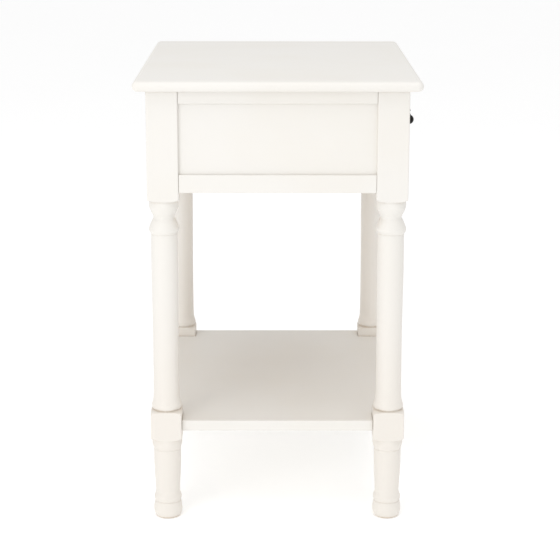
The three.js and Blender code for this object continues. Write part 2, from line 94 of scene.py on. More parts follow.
class Socket:
    """A shader value that arithmetic can be written on."""

    def __init__(self, shader: "Shader", plug: NodeSocket) -> None:
        """Keeps the node socket and the shader that it belongs to."""
        self.shader = shader
        self.plug = plug

    def _math(self, operation: str, first: "Value", second: "Value") -> "Socket":
        """Adds one Math node."""
        return self.shader.node("ShaderNodeMath", {"operation": operation}, {0: first, 1: second})

    def __add__(self, other: "Value") -> "Socket":
        """Sum."""
        return self._math("ADD", self, other)

    def __sub__(self, other: "Value") -> "Socket":
        """Difference."""
        return self._math("SUBTRACT", self, other)

    def __rsub__(self, other: "Value") -> "Socket":
        """Difference from a number."""
        return self._math("SUBTRACT", other, self)

    def __mul__(self, other: "Value") -> "Socket":
        """Product."""
        return self._math("MULTIPLY", self, other)

    __radd__ = __add__
    __rmul__ = __mul__

    def ramp(self, low: float, high: float) -> "Socket":
        """Smooth step from 0 at `low` to 1 at `high`."""
        settings = {"interpolation_type": "SMOOTHSTEP"}
        return self.shader.node("ShaderNodeMapRange", settings, {0: self, 1: low, 2: high})


Value = Socket | float


class Shader:
    """The node tree of one material, with a Principled surface."""

    def __init__(self, name: str, constants: Mapping[str, Any]) -> None:
        """Starts the material.

        Args:
            name: The material's name.
            constants: Values that are the same all over, by socket name.
        """
        self.material = bpy.data.materials.new(name)
        self.material.use_nodes = True
        self.tree = self.material.node_tree
        self.surface = self.tree.nodes["Principled BSDF"]
        for socket, value in constants.items():
            self.surface.inputs[socket].default_value = value
        self.place = self.node("ShaderNodeTexCoord", out="Object")

    def node(
        self,
        kind: str,
        settings: Mapping[str, Any] | None = None,
        inputs: Mapping[int | str, Any] | None = None,
        out: int | str = 0,
    ) -> Socket:
        """Adds a node.

        Args:
            kind: The node's type.
            settings: Its settings, such as an operation, which are set first.
            inputs: Values or links of its sockets, by name or number.
            out: Which output to return.

        Returns:
            The chosen output.
        """
        made = self.tree.nodes.new(kind)
        for key, value in (settings or {}).items():
            setattr(made, key, value)
        for key, value in (inputs or {}).items():
            if isinstance(value, Socket):
                self.tree.links.new(value.plug, made.inputs[key])
            else:
                made.inputs[key].default_value = value
        return Socket(self, made.outputs[out])

    def mix(self, factor: Value, first: Socket | Colour, second: Socket | Colour) -> Socket:
        """Blends two colours.

        Args:
            factor: 0 for the first colour, 1 for the second.
            first: A colour or a link.
            second: A colour or a link.

        Returns:
            The blended colour.
        """
        colours = [c if isinstance(c, Socket) else (*c, 1.0) for c in (first, second)]
        inputs = {0: factor, 6: colours[0], 7: colours[1]}
        return self.node("ShaderNodeMix", {"data_type": "RGBA"}, inputs, out=2)

    def noise(
        self, scale: float, detail: float = 3.0, stretch: Sequence[float] = (1.0, 1.0, 1.0)
    ) -> Socket:
        """Noise from 0 to 1, fixed to the piece.

        Args:
            scale: Features per metre.
            detail: Octaves.
            stretch: A factor on each axis, small along a grain.

        Returns:
            The noise value.
        """
        size = tuple(scale * s for s in stretch)
        place = self.node("ShaderNodeVectorMath", {"operation": "MULTIPLY"}, {0: self.place, 1: size})
        return self.node("ShaderNodeTexNoise", {}, {"Vector": place, "Scale": 1.0, "Detail": detail})

    def edges(self, radius: float) -> Socket:
        """Finds edges.

        Args:
            radius: How near an edge has to be.

        Returns:
            How sharply the surface turns, from 0 on flat ground.
        """
        rounded = self.node("ShaderNodeBevel", {"samples": 6}, {"Radius": radius})
        true = self.node("ShaderNodeNewGeometry", out="Normal")
        dot = {"operation": "DOT_PRODUCT"}
        return 1.0 - self.node("ShaderNodeVectorMath", dot, {0: rounded, 1: true}, out="Value")

    def crevices(self, reach: float) -> Socket:
        """Finds crevices.

        Args:
            reach: How far away a surface can be and still shut a point in.

        Returns:
            How shut in a point is, from 0 in the open.
        """
        settings = {"samples": 8}
        return 1.0 - self.node("ShaderNodeAmbientOcclusion", settings, {"Distance": reach}, out="AO")

    def finish(self, colour: Socket, roughness: Socket, height: Socket, depth: float) -> Material:
        """Joins the varying values to the surface.

        Args:
            colour: Base colour.
            roughness: Roughness.
            height: Surface height from 0 to 1.
            depth: The height's depth in metres.

        Returns:
            The finished material.
        """
        bump = self.node("ShaderNodeBump", {}, {"Height": height, "Distance": depth, "Strength": 1.0})
        wired = {"Base Color": colour, "Roughness": roughness, "Normal": bump}
        for name, value in wired.items():
            self.tree.links.new(value.plug, self.surface.inputs[name])
        return self.material


@dataclass(frozen=True)
class PaintFinish:
    """Satin cream paint over a tan undercoat, brushed one way and rubbed a little at edges, with painted shade in
    its crevices and lower down.
    """

    brush: Axis
    tone: Colour = (0.80, 0.78, 0.745)
    warm: Colour = (0.785, 0.757, 0.705)
    undercoat: Colour = (0.50, 0.385, 0.25)
    # The tan of the painted crevice shade, also used at the darker foot.
    shade_tan: Colour = (0.56, 0.47, 0.36)
    # Warmer, darker colour of the painted shade lower down the legs, and its strength.
    low_shade: Colour = (0.785, 0.745, 0.69)
    low_shade_strength: float = 0.0
    # Strength of the painted crevice shade, and the occlusion at which it starts.
    crevice_shade_strength: float = 0.12
    crevice_shade_start: float = 0.3
    # How much darker the lowest few millimetres are, and over what height.
    foot_darkening: float = 0.0
    foot_darkening_height: float = 5 * MM
    crevice_reach: float = 6 * MM
    edge_reach: float = 1.6 * MM
    relief: float = 0.08 * MM
    # Heights in metres where the painted shade lower down begins and where it is full.
    low_shade_from: float = 0.42
    low_shade_full: float = 0.14
    ior: float = 1.46
    slot: str = "cream_paint"

    def material(self) -> Material:
        """Builds the paint.

        Returns:
            The material.
        """
        shader = Shader(f"cream_paint_{self.brush.name.lower()}", {"IOR": self.ior})
        clouds = shader.noise(7.0, 3.0)
        strokes = shader.noise(1.0, 4.0, self.brush.stretch(9.0, 420.0))
        patches = shader.noise(55.0, 5.0)
        specks = shader.noise(900.0, 2.0)
        colour = shader.mix(clouds.ramp(0.35, 0.75) * 0.55 + strokes * 0.2, self.tone, self.warm)
        # Painted shade: towards the bottom the paint turns warmer and darker, as in the shade under the top and
        # the shelf.
        height = shader.node("ShaderNodeSeparateXYZ", {}, {0: shader.place}, out="Z")
        low_down = 1.0 - height.ramp(self.low_shade_full, self.low_shade_from)
        colour = shader.mix(low_down * (0.75 + clouds * 0.5) * self.low_shade_strength, colour, self.low_shade)
        # Painted shade: tan darkening in crevices, found by occlusion and broken up in patches.
        shut_in = shader.crevices(self.crevice_reach).ramp(self.crevice_shade_start, 0.9)
        crevice_shade_mask = shut_in * patches.ramp(0.2, 0.6)
        colour = shader.mix(crevice_shade_mask * self.crevice_shade_strength, colour, self.shade_tan)
        # Darker over the lowest few millimetres, in the same tan.
        darker_foot = (1.0 - height.ramp(0.0, self.foot_darkening_height)) * self.foot_darkening
        colour = shader.mix(darker_foot, colour, self.shade_tan)
        rub = shader.edges(self.edge_reach).ramp(0.03, 0.22) * patches.ramp(0.5, 0.66)
        colour = shader.mix(rub * 0.62, colour, self.undercoat)
        roughness = 0.4 + clouds * 0.1 + specks * 0.06 + rub * 0.25
        surface = strokes * 0.6 + specks * 0.25 + (1.0 - rub) * 0.5
        return shader.finish(colour, roughness, surface, self.relief)


@dataclass(frozen=True)
class WoodFinish:
    """Clear-sealed wood with growth rings and fine pores along its grain."""

    name: str
    grain: Axis
    light: Colour
    dark: Colour
    ior: float = 1.5
    edge_reach: float = 1.0 * MM
    relief: float = 0.08 * MM

    @property
    def slot(self) -> str:
        """The slot that the wood fills."""
        return self.name

    def material(self) -> Material:
        """Builds the wood.

        Returns:
            The material.
        """
        shader = Shader(f"{self.name}_{self.grain.name.lower()}", {"IOR": self.ior})
        drift = shader.noise(1.0, 2.0, self.grain.stretch(1.5, 11.0))
        rings = shader.node("ShaderNodeMath", {"operation": "SINE"}, {0: drift * 62.0}) * 0.5 + 0.5
        fibres = shader.noise(1.0, 4.0, self.grain.stretch(22.0, 700.0))
        pores = shader.noise(1.0, 2.0, self.grain.stretch(60.0, 2400.0)).ramp(0.6, 0.72)
        tone = rings.ramp(0.25, 1.0) * 0.55 + fibres.ramp(0.3, 0.7) * 0.35
        colour = shader.mix(tone, self.light, self.dark)
        colour = shader.mix(pores * 0.35, colour, self.dark)
        worn = shader.edges(self.edge_reach).ramp(0.04, 0.3)
        colour = shader.mix(worn * 0.25, colour, self.light)
        roughness = 0.5 + fibres * 0.14 + pores * 0.12
        surface = fibres * 0.5 - pores * 0.4 + rings * 0.2 + 0.4
        return shader.finish(colour, roughness, surface, self.relief)


@dataclass(frozen=True)
class MetalFinish:
    """Metal, bare or blackened, with a mottled surface that rubs brighter at its edges."""

    slot: str
    tone: Colour
    mottle: Colour
    bright: Colour
    gloss: float
    metallic: float = 1.0
    ior: float = 1.5
    edge_reach: float = 0.5 * MM
    relief: float = 0.05 * MM

    def material(self) -> Material:
        """Builds the metal.

        Returns:
            The material.
        """
        shader = Shader(self.slot, {"Metallic": self.metallic, "IOR": self.ior})
        cast = shader.noise(260.0, 4.0)
        grit = shader.noise(2600.0, 2.0)
        colour = shader.mix(cast.ramp(0.4, 0.7), self.tone, self.mottle)
        rub = shader.edges(self.edge_reach).ramp(0.05, 0.4) * cast.ramp(0.35, 0.6)
        colour = shader.mix(rub * 0.5, colour, self.bright)
        roughness = self.gloss + cast * 0.12 + grit * 0.08
        return shader.finish(colour, roughness, cast * 0.7 + grit * 0.3, self.relief)


@dataclass(frozen=True)
class FloorFinish:
    """Plain pale matt floor with a faint glow, so that it stays near white."""

    tone: Colour = (0.97, 0.97, 0.97)
    shade: Colour = (0.955, 0.955, 0.955)
    glow: float = 0.21
    ior: float = 1.3
    relief: float = 0.01 * MM

    def material(self) -> Material:
        """Builds the floor's material.

        Returns:
            The material.
        """
        constants = {"IOR": self.ior, "Emission Color": WHITE, "Emission Strength": self.glow}
        shader = Shader("pale_floor", constants)
        clouds = shader.noise(2.0, 2.0)
        colour = shader.mix(clouds, self.tone, self.shade)
        return shader.finish(colour, 0.75 + clouds * 0.1, clouds, self.relief)


Finish = PaintFinish | WoodFinish | MetalFinish

# The legs carry strong painted shade in crevices and lower down, and a darker foot.
TURNED_PAINT = PaintFinish(Axis.Z, low_shade_strength=1.0, crevice_shade_strength=0.8, crevice_shade_start=0.12, foot_darkening=0.3)
BLACK_GLOSS = MetalFinish(
    slot="dark_metal",
    tone=(0.005, 0.0047, 0.0043),
    mottle=(0.008, 0.007, 0.006),
    bright=(0.06, 0.045, 0.03),
    gloss=0.05,
    metallic=0.0,
    ior=1.27,
)
ZINC = MetalFinish(
    slot="steel",
    tone=(0.6, 0.6, 0.58),
    mottle=(0.5, 0.5, 0.47),
    bright=(0.8, 0.8, 0.78),
    gloss=0.28,
)


def box_wood(grain: Axis) -> WoodFinish:
    """The pale wood inside the table, with its grain along an axis."""
    return WoodFinish("bare_wood", grain, (0.71, 0.545, 0.35), (0.53, 0.365, 0.2))


def dowel_wood(grain: Axis) -> WoodFinish:
    """The darker wood of the dowels, with its grain along an axis."""
    return WoodFinish("dowel_wood", grain, (0.6, 0.43, 0.26), (0.45, 0.3, 0.16))


@functools.cache
def material_of(finish: Finish | FloorFinish) -> Material:
    """The one material of a finish, built when first asked for."""
    return finish.material()


# ---- mesh work


def skin(bm: BMesh, rings: Sequence[Ring], hollow: bool = False) -> None:
    """Joins closed rings of points, one after another, into a shell.

    Args:
        bm: The mesh to add to.
        rings: Rings with the same number of points.
        hollow: Whether the last ring joins the first, in place of flat ends.
    """
    made = [[bm.verts.new(point) for point in ring] for ring in rings]
    count = len(made[0])
    for low, high in zip(made, made[1:] + made[:1] if hollow else made[1:]):
        for i in range(count):
            j = (i + 1) % count
            bm.faces.new((low[i], low[j], high[j], high[i]))
    if not hollow:
        bm.faces.new(list(reversed(made[0])))
        bm.faces.new(made[-1])


def lathe(bm: BMesh, line: Line, sides: int, turn: Matrix, hollow: bool = False) -> None:
    """Turns a line of radius and height about the Z axis, then places it.

    Args:
        bm: The mesh to add to.
        line: Radius and height of each ring.
        sides: Points round each ring.
        turn: Where the turning's origin and axis go.
        hollow: Whether the line's end joins its start, in place of flat ends.
    """
    angles = [TURN * i / sides for i in range(sides)]
    rings = [[turn @ Vector((r * cos(a), r * sin(a), z)) for a in angles] for r, z in line]
    skin(bm, rings, hollow)


class Profile:
    """A line of radius and height, drawn as a turner would mark it out."""

    def __init__(self, radius: float, height: float) -> None:
        """Starts the line."""
        self.points: list[tuple[float, float]] = [(radius, height)]

    def line(self, radius: float, height: float, steps: int = 1) -> None:
        """Runs straight to a point.

        Args:
            radius: Radius at the end.
            height: Height at the end.
            steps: Points along the line.
        """
        r0, z0 = self.points[-1]
        for i in range(1, steps + 1):
            t = i / steps
            self.points.append((r0 + (radius - r0) * t, z0 + (height - z0) * t))

    def bend(self, via: tuple[float, float], radius: float, height: float, steps: int = 8) -> None:
        """Curves to a point.

        Args:
            via: The point that the curve leans towards.
            radius: Radius at the end.
            height: Height at the end.
            steps: Points along the curve.
        """
        r0, z0 = self.points[-1]
        for i in range(1, steps + 1):
            t = i / steps
            a, b, c = (1 - t) ** 2, 2 * t * (1 - t), t * t
            self.points.append((a * r0 + b * via[0] + c * radius, a * z0 + b * via[1] + c * height))

    def round(
        self, centre: tuple[float, float], radius: float, start: float, end: float, steps: int
    ) -> None:
        """Follows an arc.

        Args:
            centre: Radius and height of the arc's centre.
            radius: The arc's radius.
            start: First angle in degrees, from straight out.
            end: Last angle in degrees.
            steps: Points along the arc.
        """
        for i in range(steps + 1):
            a = radians(start + (end - start) * i / steps)
            self.points.append((centre[0] + radius * cos(a), centre[1] + radius * sin(a)))


def along(axis: Axis, place: Vector, flip: bool = False) -> Matrix:
    """Points a turning along an axis.

    Args:
        axis: The axis it points along.
        place: Where the turning's origin goes.
        flip: Whether it points the other way.

    Returns:
        The transform.
    """
    way = Vector([(-1.0 if flip else 1.0) if i == axis.value else 0.0 for i in range(3)])
    return Matrix.Translation(place) @ way.to_track_quat("Z", "Y").to_matrix().to_4x4()


def add_box(bm: BMesh, low: Vector, high: Vector) -> None:
    """Adds a block.

    Args:
        bm: The mesh to add to.
        low: Its lowest corner.
        high: Its highest corner.
    """
    size = high - low
    at = Matrix.Translation((low + high) / 2) @ Matrix.Diagonal((*size, 1.0))
    bmesh.ops.create_cube(bm, size=1.0, matrix=at)


def placed(name: str, data: Mesh | Light | Camera) -> Object:
    """Puts a new object in the scene.

    Args:
        name: The object's name.
        data: What it shows.

    Returns:
        The object.
    """
    made = bpy.data.objects.new(name, data)
    bpy.context.scene.collection.objects.link(made)
    return made


def baked(bm: BMesh, name: str) -> Mesh:
    """Turns the work into a mesh with its faces pointing outwards.

    Args:
        bm: The work, which it frees.
        name: The mesh's name.

    Returns:
        The mesh.
    """
    bmesh.ops.recalc_face_normals(bm, faces=bm.faces)
    mesh = bpy.data.meshes.new(name)
    bm.to_mesh(mesh)
    bm.free()
    return mesh


def cut(mesh: Mesh, cutters: Iterable[BMesh]) -> Mesh:
    """Cuts shapes out of a mesh, one at a time.

    Args:
        mesh: The mesh to cut.
        cutters: The shapes to take away.

    Returns:
        The cut mesh.
    """
    work = placed("work", mesh)
    tool = placed("tool", bpy.data.meshes.new("tool"))
    for cutter in cutters:
        bmesh.ops.recalc_face_normals(cutter, faces=cutter.faces)
        cutter.to_mesh(tool.data)
        cutter.free()
        step = work.modifiers.new("cut", "BOOLEAN")
        step.object = tool
        step.operation = "DIFFERENCE"
        step.solver = "EXACT"
        work.data = evaluated(work)
        work.modifiers.clear()
    result = work.data
    bpy.data.objects.remove(work)
    bpy.data.objects.remove(tool)
    return result


def evaluated(item: Object) -> Mesh:
    """Works an object's modifiers into a new mesh.

    Args:
        item: The object.

    Returns:
        The new mesh.
    """
    bpy.context.view_layer.update()
    graph = bpy.context.evaluated_depsgraph_get()
    return bpy.data.meshes.new_from_object(item.evaluated_get(graph), depsgraph=graph)


def remeshed(bm: BMesh, voxel: float) -> Mesh:
    """Joins overlapping shells into one even skin, as a casting is.

    Args:
        bm: The shells, which it frees.
        voxel: Size of the new faces.

    Returns:
        The joined mesh.
    """
    work = placed("casting", baked(bm, "casting"))
    step = work.modifiers.new("skin", "REMESH")
    step.mode = "VOXEL"
    step.voxel_size = voxel
    smooth = work.modifiers.new("smooth", "SMOOTH")
    smooth.factor = 0.4
    smooth.iterations = 2
    result = evaluated(work)
    bpy.data.objects.remove(work)
    return result


def piece(name: str, shape: BMesh | Mesh, finish: Finish, node: str, sharp: float = 38.0) -> Object:
    """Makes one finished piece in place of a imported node.

    Args:
        name: The piece's name.
        shape: Its mesh, in place.
        finish: What it is finished with.
        node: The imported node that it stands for.
        sharp: Angle in degrees above which an edge stays crisp.

    Returns:
        The piece.
    """
    mesh = baked(shape, name) if isinstance(shape, BMesh) else shape
    mesh.shade_smooth()
    mesh.set_sharp_from_angle(angle=radians(sharp))
    made = placed(name, mesh)
    weigh = made.modifiers.new("weigh", "WEIGHTED_NORMAL")
    weigh.keep_sharp = True
    made.data = evaluated(made)
    made.modifiers.clear()
    made.data.name = name
    made.data.materials.clear()
    made.data.materials.append(material_of(finish))
    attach(made, body_of(node))
    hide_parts(node)
    log.info("%s: %d faces on %s", name, len(made.data.polygons), body_of(node))
    return made


def body_of(node: str) -> str:
    """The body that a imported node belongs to."""
    bodies = frame["record"]["behaviour"]["bodies"]
    return next(body for body, members in bodies.items() if node in members)


def eased(node: str, ease: float, steps: int = 3) -> BMesh:
    """A copy of a packed board with its corners rounded over.

    Args:
        node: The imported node.
        ease: Width of the rounding.
        steps: Faces across the rounding.

    Returns:
        The eased board.
    """
    bm = bmesh.new()
    bm.from_mesh(frame["nodes"][node].data)
    bmesh.ops.remove_doubles(bm, verts=bm.verts, dist=SAME_PLACE)
    bmesh.ops.dissolve_limit(bm, angle_limit=SAME_PLANE, verts=bm.verts, edges=bm.edges)
    corners = [e for e in bm.edges if len(e.link_faces) == 2 and e.calc_face_angle(0) > CORNER]
    bevel = {"offset_type": "OFFSET", "profile": 0.5, "affect": "EDGES", "clamp_overlap": True}
    bmesh.ops.bevel(bm, geom=corners, offset=ease, segments=steps, **bevel)
    return bm


# ---- the table


@dataclass
class Legs:
    """Four legs turned from square stock, with square blocks left at the shelf and the apron."""

    top_block: float = 0.1502
    lower_foot: float = 0.1165
    lower_block: float = 0.0415
    corner: float = 1.6 * MM
    foot_flat: float = 16.0 * MM
    bulb: float = 19.9 * MM
    ankle: float = 16.9 * MM
    low_shaft: float = 18.9 * MM
    shaft: float = 18.1 * MM
    ring: float = 20.8 * MM
    neck: float = 14.4 * MM
    collar: float = 20.2 * MM
    drop_low: float = 6.6 * MM
    drop_high: float = 4.4 * MM
    drop_upper: float = 5.2 * MM
    soften: float = 0.45 * MM
    crisp: float = 33.0
    shoulder_steps: int = 6
    shoulder_gap: float = 0.15 * MM
    weld: float = 0.002 * MM

    def outline(self, half: float) -> Ring:
        """The square section with rounded corners.

        Args:
            half: Half the width of the square.

        Returns:
            Points round the section, closer together near the corners.
        """
        flat = half - self.corner
        marks = [-flat, 0.6 * MM - flat]
        marks += [flat * (i / 5 - 1) * 0.93 for i in range(11)]
        marks.append(flat - 0.6 * MM)
        points = []
        for quarter in range(4):
            turn = Matrix.Rotation(quarter * TURN / 4, 3, "Z")
            points += [turn @ Vector((half, y, 0)) for y in marks]
            for i in range(4):
                a = i / 4 * TURN / 4
                bend = Vector((cos(a), sin(a), 0)) * self.corner
                points.append(turn @ (Vector((flat, flat, 0)) + bend))
        return points

    def foot(self, half: float) -> Line:
        """The turning from the floor to the lower block.

        Args:
            half: Half the width of the square stock.

        Returns:
            Radius and height of each ring.
        """
        block = self.lower_foot
        line = Profile(self.foot_flat - 1.5 * MM, 0.0)
        line.bend((self.foot_flat, 0.0), self.foot_flat + 0.9 * MM, 0.9 * MM, 4)
        line.bend((19.1 * MM, 4.0 * MM), self.bulb, 8.5 * MM)
        line.bend((self.bulb + 0.4 * MM, 13.5 * MM), 19.1 * MM, 19.0 * MM)
        line.bend((18.7 * MM, 21.8 * MM), 18.2 * MM, 22.5 * MM, 4)
        line.line(17.6 * MM, 23.0 * MM)
        line.line(17.7 * MM, 23.7 * MM)
        line.bend((18.6 * MM, 24.5 * MM), 18.9 * MM, 26.0 * MM, 5)
        line.bend((19.6 * MM, 29.8 * MM), 18.4 * MM, 32.4 * MM, 8)
        line.bend((17.4 * MM, 34.4 * MM), self.ankle, 37.5 * MM, 6)
        line.bend((17.0 * MM, 47.0 * MM), 18.1 * MM, 62.0 * MM, 8)
        line.bend((18.8 * MM, 76.0 * MM), self.low_shaft, block - 16.6 * MM, 8)
        line.line(18.4 * MM, block - 15.9 * MM)
        line.line(18.6 * MM, block - 15.2 * MM)
        line.bend((19.9 * MM, block - 13.4 * MM), half - 0.5 * MM, block - 8.6 * MM, 8)
        line.bend((half - 0.1 * MM, block - 7.6 * MM), half - 0.2 * MM, block - 5.5 * MM, 3)
        line.line(half - 0.3 * MM, block - 1.0 * MM)
        return line.points

    def spindle(self, half: float, low: float, high: float) -> Line:
        """The turning between the two blocks.

        Args:
            half: Half the width of the square stock.
            low: Top of the lower block's faces.
            high: Foot of the upper block's faces.

        Returns:
            Radius and height of each ring.
        """
        line = Profile(half - 1.2 * MM, low + 0.35 * MM)
        line.line(half - 2.4 * MM, low + 0.9 * MM)
        line.line(half - 2.4 * MM, low + 1.5 * MM)
        line.bend((half - 0.9 * MM, low + 2.2 * MM), half - 0.5 * MM, low + 4.5 * MM, 6)
        line.bend((half - 0.2 * MM, low + 8.0 * MM), half - 1.3 * MM, low + 10.2 * MM, 6)
        line.bend((18.9 * MM, low + 13.0 * MM), 18.2 * MM, low + 18.5 * MM, 8)
        line.bend((17.6 * MM, low + 30.0 * MM), 17.7 * MM, low + 110.0 * MM, 10)
        line.bend((17.9 * MM, low + 160.0 * MM), 18.3 * MM, low + 185.0 * MM, 6)
        line.line(18.3 * MM, low + 220.0 * MM, 3)
        line.line(self.shaft, high - 48.5 * MM, 4)
        line.line(self.shaft, high - 47.2 * MM)
        line.line(17.8 * MM, high - 46.6 * MM)
        line.bend((18.6 * MM, high - 46.0 * MM), 19.6 * MM, high - 44.4 * MM, 5)
        line.bend((20.4 * MM, high - 43.6 * MM), self.ring - 0.3 * MM, high - 42.2 * MM, 5)
        line.bend((self.ring + 0.3 * MM, high - 39.8 * MM), self.ring - 0.7 * MM, high - 37.4 * MM, 5)
        line.bend((18.0 * MM, high - 32.0 * MM), 16.2 * MM, high - 28.0 * MM, 8)
        line.bend((self.neck, high - 25.2 * MM), self.neck + 0.1 * MM, high - 23.6 * MM, 5)
        line.bend((self.neck + 0.3 * MM, high - 21.0 * MM), 16.9 * MM, high - 18.0 * MM, 6)
        line.bend((18.4 * MM, high - 14.2 * MM), 19.5 * MM, high - 11.4 * MM, 6)
        line.bend((self.collar + 0.1 * MM, high - 9.4 * MM), self.collar, high - 6.4 * MM, 5)
        line.bend((self.collar, high - 3.2 * MM), self.collar - 0.5 * MM, high - 2.0 * MM, 4)
        line.line(self.collar - 0.5 * MM, high - 1.2 * MM)
        line.line(half - 0.6 * MM, high - 0.3 * MM)
        return line.points

    def shoulder(self, radius: float, half: float, edge: float, rise: float) -> float:
        """Height of a turned shoulder, which rounds the stock's corners off towards its edge.

        Args:
            radius: Distance from the leg's axis.
            half: Half the width of the square stock.
            edge: Height of the block's edge at the middle of a face.
            rise: How far the rounding reaches at the corners, negative if downwards.

        Returns:
            The height.
        """
        share = (radius - half) / (half * sqrt(2) - half)
        return edge + rise * (1 - sqrt(max(0.0, 1 - share * share)))

    def block(
        self, section: Ring, half: float, low: float, high: float, rises: Sequence[float]
    ) -> list[Ring]:
        """The rings of a square block and the turned shoulders at its ends.

        Args:
            section: The square section.
            half: Half its width.
            low: Height of its lower edge.
            high: Height of its upper edge.
            rises: Reach of the lower and of the upper shoulder.

        Returns:
            Rings from the bottom up.
        """
        steps = self.shoulder_steps
        rings = []
        for edge, rise in ((low, rises[0]), (high, -rises[1])):
            rows = []
            if rise:
                for i in range(1, steps + 1):
                    share = i / steps if i < steps else 1 - self.shoulder_gap / half
                    row = []
                    for point in section:
                        radius = half + (point.length - half) * share
                        height = self.shoulder(radius, half, edge, rise)
                        row.append(point.normalized() * radius + Vector((0, 0, height)))
                    rows.append(row)
            rows.append([self._on_block(p, half, edge, rise) for p in section])
            rings += rows if edge == low else list(reversed(rows))
        return rings

    def _on_block(self, point: Vector, half: float, edge: float, rise: float) -> Vector:
        """A point of the block's own surface, just past its shoulder."""
        height = self.shoulder(point.length, half, edge, rise) + copysign(self.soften, rise)
        return point + Vector((0, 0, height if rise else edge))

    def _turned(self, section: Ring, line: Line) -> list[Ring]:
        """Round rings whose points are in line with the square's."""
        return [[p.normalized() * r + Vector((0, 0, z)) for p in section] for r, z in line]

    def build(self, node: str) -> BMesh:
        """Builds one leg.

        Args:
            node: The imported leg.

        Returns:
            The leg, in place.
        """
        low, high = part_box(node)
        half = (high.x - low.x) / 2
        axis = Vector(((low.x + high.x) / 2, (low.y + high.y) / 2, 0))
        section = self.outline(half)
        lower_top = self.lower_foot + self.lower_block
        upper_foot = high.z - self.top_block
        rings = self._turned(section, self.foot(half))
        rings += self.block(section, half, self.lower_foot, lower_top, (self.drop_low, self.drop_high))
        rings += self._turned(section, self.spindle(half, lower_top, upper_foot))
        rings += self.block(section, half, upper_foot, high.z, (self.drop_upper, 0.0))
        bm = bmesh.new()
        skin(bm, [[p + axis for p in ring] for ring in rings])
        bmesh.ops.remove_doubles(bm, verts=bm.verts, dist=self.weld)
        return bm

    def make(self) -> None:
        """Makes the four legs."""
        for end in END_NAMES:
            for side in SIDE_NAMES:
                node = f"leg_{end}_{side}"
                piece(f"{node}_turning", self.build(node), TURNED_PAINT, node, self.crisp)


@dataclass
class TableTop:
    """A board with a full bullnose round its edge and small rounded corners."""

    corner: float = 9 * MM
    corner_steps: int = 8
    nose_steps: int = 14

    def ring(self, low: Vector, high: Vector, inset: float, height: float) -> Ring:
        """The board's outline at one height.

        Args:
            low: Lowest corner of the board.
            high: Highest corner of the board.
            inset: How far inside the board's edge.
            height: Where the ring lies.

        Returns:
            Points round the outline.
        """
        middle = (low + high) / 2
        radius = max(self.corner - inset, 0.5 * MM)
        half = Vector(((high.x - low.x) / 2 - inset - radius, (high.y - low.y) / 2 - inset - radius))
        points = []
        for sx, sy, start in ((1, 1, 0), (-1, 1, 1), (-1, -1, 2), (1, -1, 3)):
            for i in range(self.corner_steps + 1):
                a = (start + i / self.corner_steps) * TURN / 4
                x = middle.x + sx * half.x + radius * cos(a)
                y = middle.y + sy * half.y + radius * sin(a)
                points.append(Vector((x, y, height)))
        return points

    def make(self) -> None:
        """Makes the top."""
        low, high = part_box("table_top")
        nose = (high.z - low.z) / 2
        middle = (high.z + low.z) / 2
        rings = [self.ring(low, high, nose + 2 * MM, low.z)]
        for i in range(self.nose_steps + 1):
            a = (i / self.nose_steps - 0.5) * pi
            inset = nose * (1 - cos(a))
            rings.append(self.ring(low, high, inset, middle + nose * sin(a)))
        rings.append(self.ring(low, high, nose + 2 * MM, high.z))
        bm = bmesh.new()
        skin(bm, rings)
        piece("table_top_board", bm, PaintFinish(Axis.X), "table_top")


@dataclass
class Apron:
    """The rails and recessed panels between the legs, on the sides, the back and the front."""

    rail_ease: float = 0.5 * MM
    panel_ease: float = 0.4 * MM

    def make(self) -> None:
        """Makes every rail and panel."""
        for side in SIDE_NAMES:
            for rail in (f"side_rail_top_{side}", f"side_rail_bottom_{side}"):
                piece(f"{rail}_board", eased(rail, self.rail_ease), PaintFinish(Axis.Y), rail)
            panel = f"side_panel_{side}"
            piece(f"{panel}_board", eased(panel, self.panel_ease), PaintFinish(Axis.Y), panel)
        for rail in ("back_rail_top", "back_rail_bottom", "front_rail_top", "front_rail_bottom"):
            piece(f"{rail}_board", eased(rail, self.rail_ease), PaintFinish(Axis.X), rail)
        piece("back_panel_board", eased("back_panel", self.panel_ease), PaintFinish(Axis.X), "back_panel")


@dataclass
class Shelf:
    """The lower shelf and the dowels that hold it between the legs."""

    ease: float = 1.6 * MM
    flutes: int = 18
    flute_depth: float = 0.25 * MM
    dowel_chamfer: float = 0.8 * MM

    def dowel(self, node: str) -> BMesh:
        """A fluted dowel with chamfered ends, along X.

        Args:
            node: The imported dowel.

        Returns:
            The dowel, in place.
        """
        low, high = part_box(node)
        radius = (high.z - low.z) / 2
        length = high.x - low.x
        start = Vector((low.x, (low.y + high.y) / 2, (low.z + high.z) / 2))
        count = self.flutes * 4
        rings = []
        for share, inset in ((0.0, 1.0), (0.0, 0.0), (1.0, 0.0), (1.0, 1.0)):
            x = abs(share - (1 - inset) * self.dowel_chamfer / length) * length
            ring = []
            for i in range(count):
                a = TURN * i / count
                r = radius - self.flute_depth * (i % 4 == 0) - inset * self.dowel_chamfer
                ring.append(start + Vector((x, r * cos(a), r * sin(a))))
            rings.append(ring)
        bm = bmesh.new()
        skin(bm, rings)
        return bm

    def make(self) -> None:
        """Makes the shelf and its dowels."""
        board = eased("lower_shelf", self.ease, 4)
        piece("lower_shelf_board", board, PaintFinish(Axis.X), "lower_shelf")
        for end in END_NAMES:
            for side in SIDE_NAMES:
                node = f"shelf_dowel_{end}_{side}"
                piece(f"{node}_pin", self.dowel(node), dowel_wood(Axis.X), node)


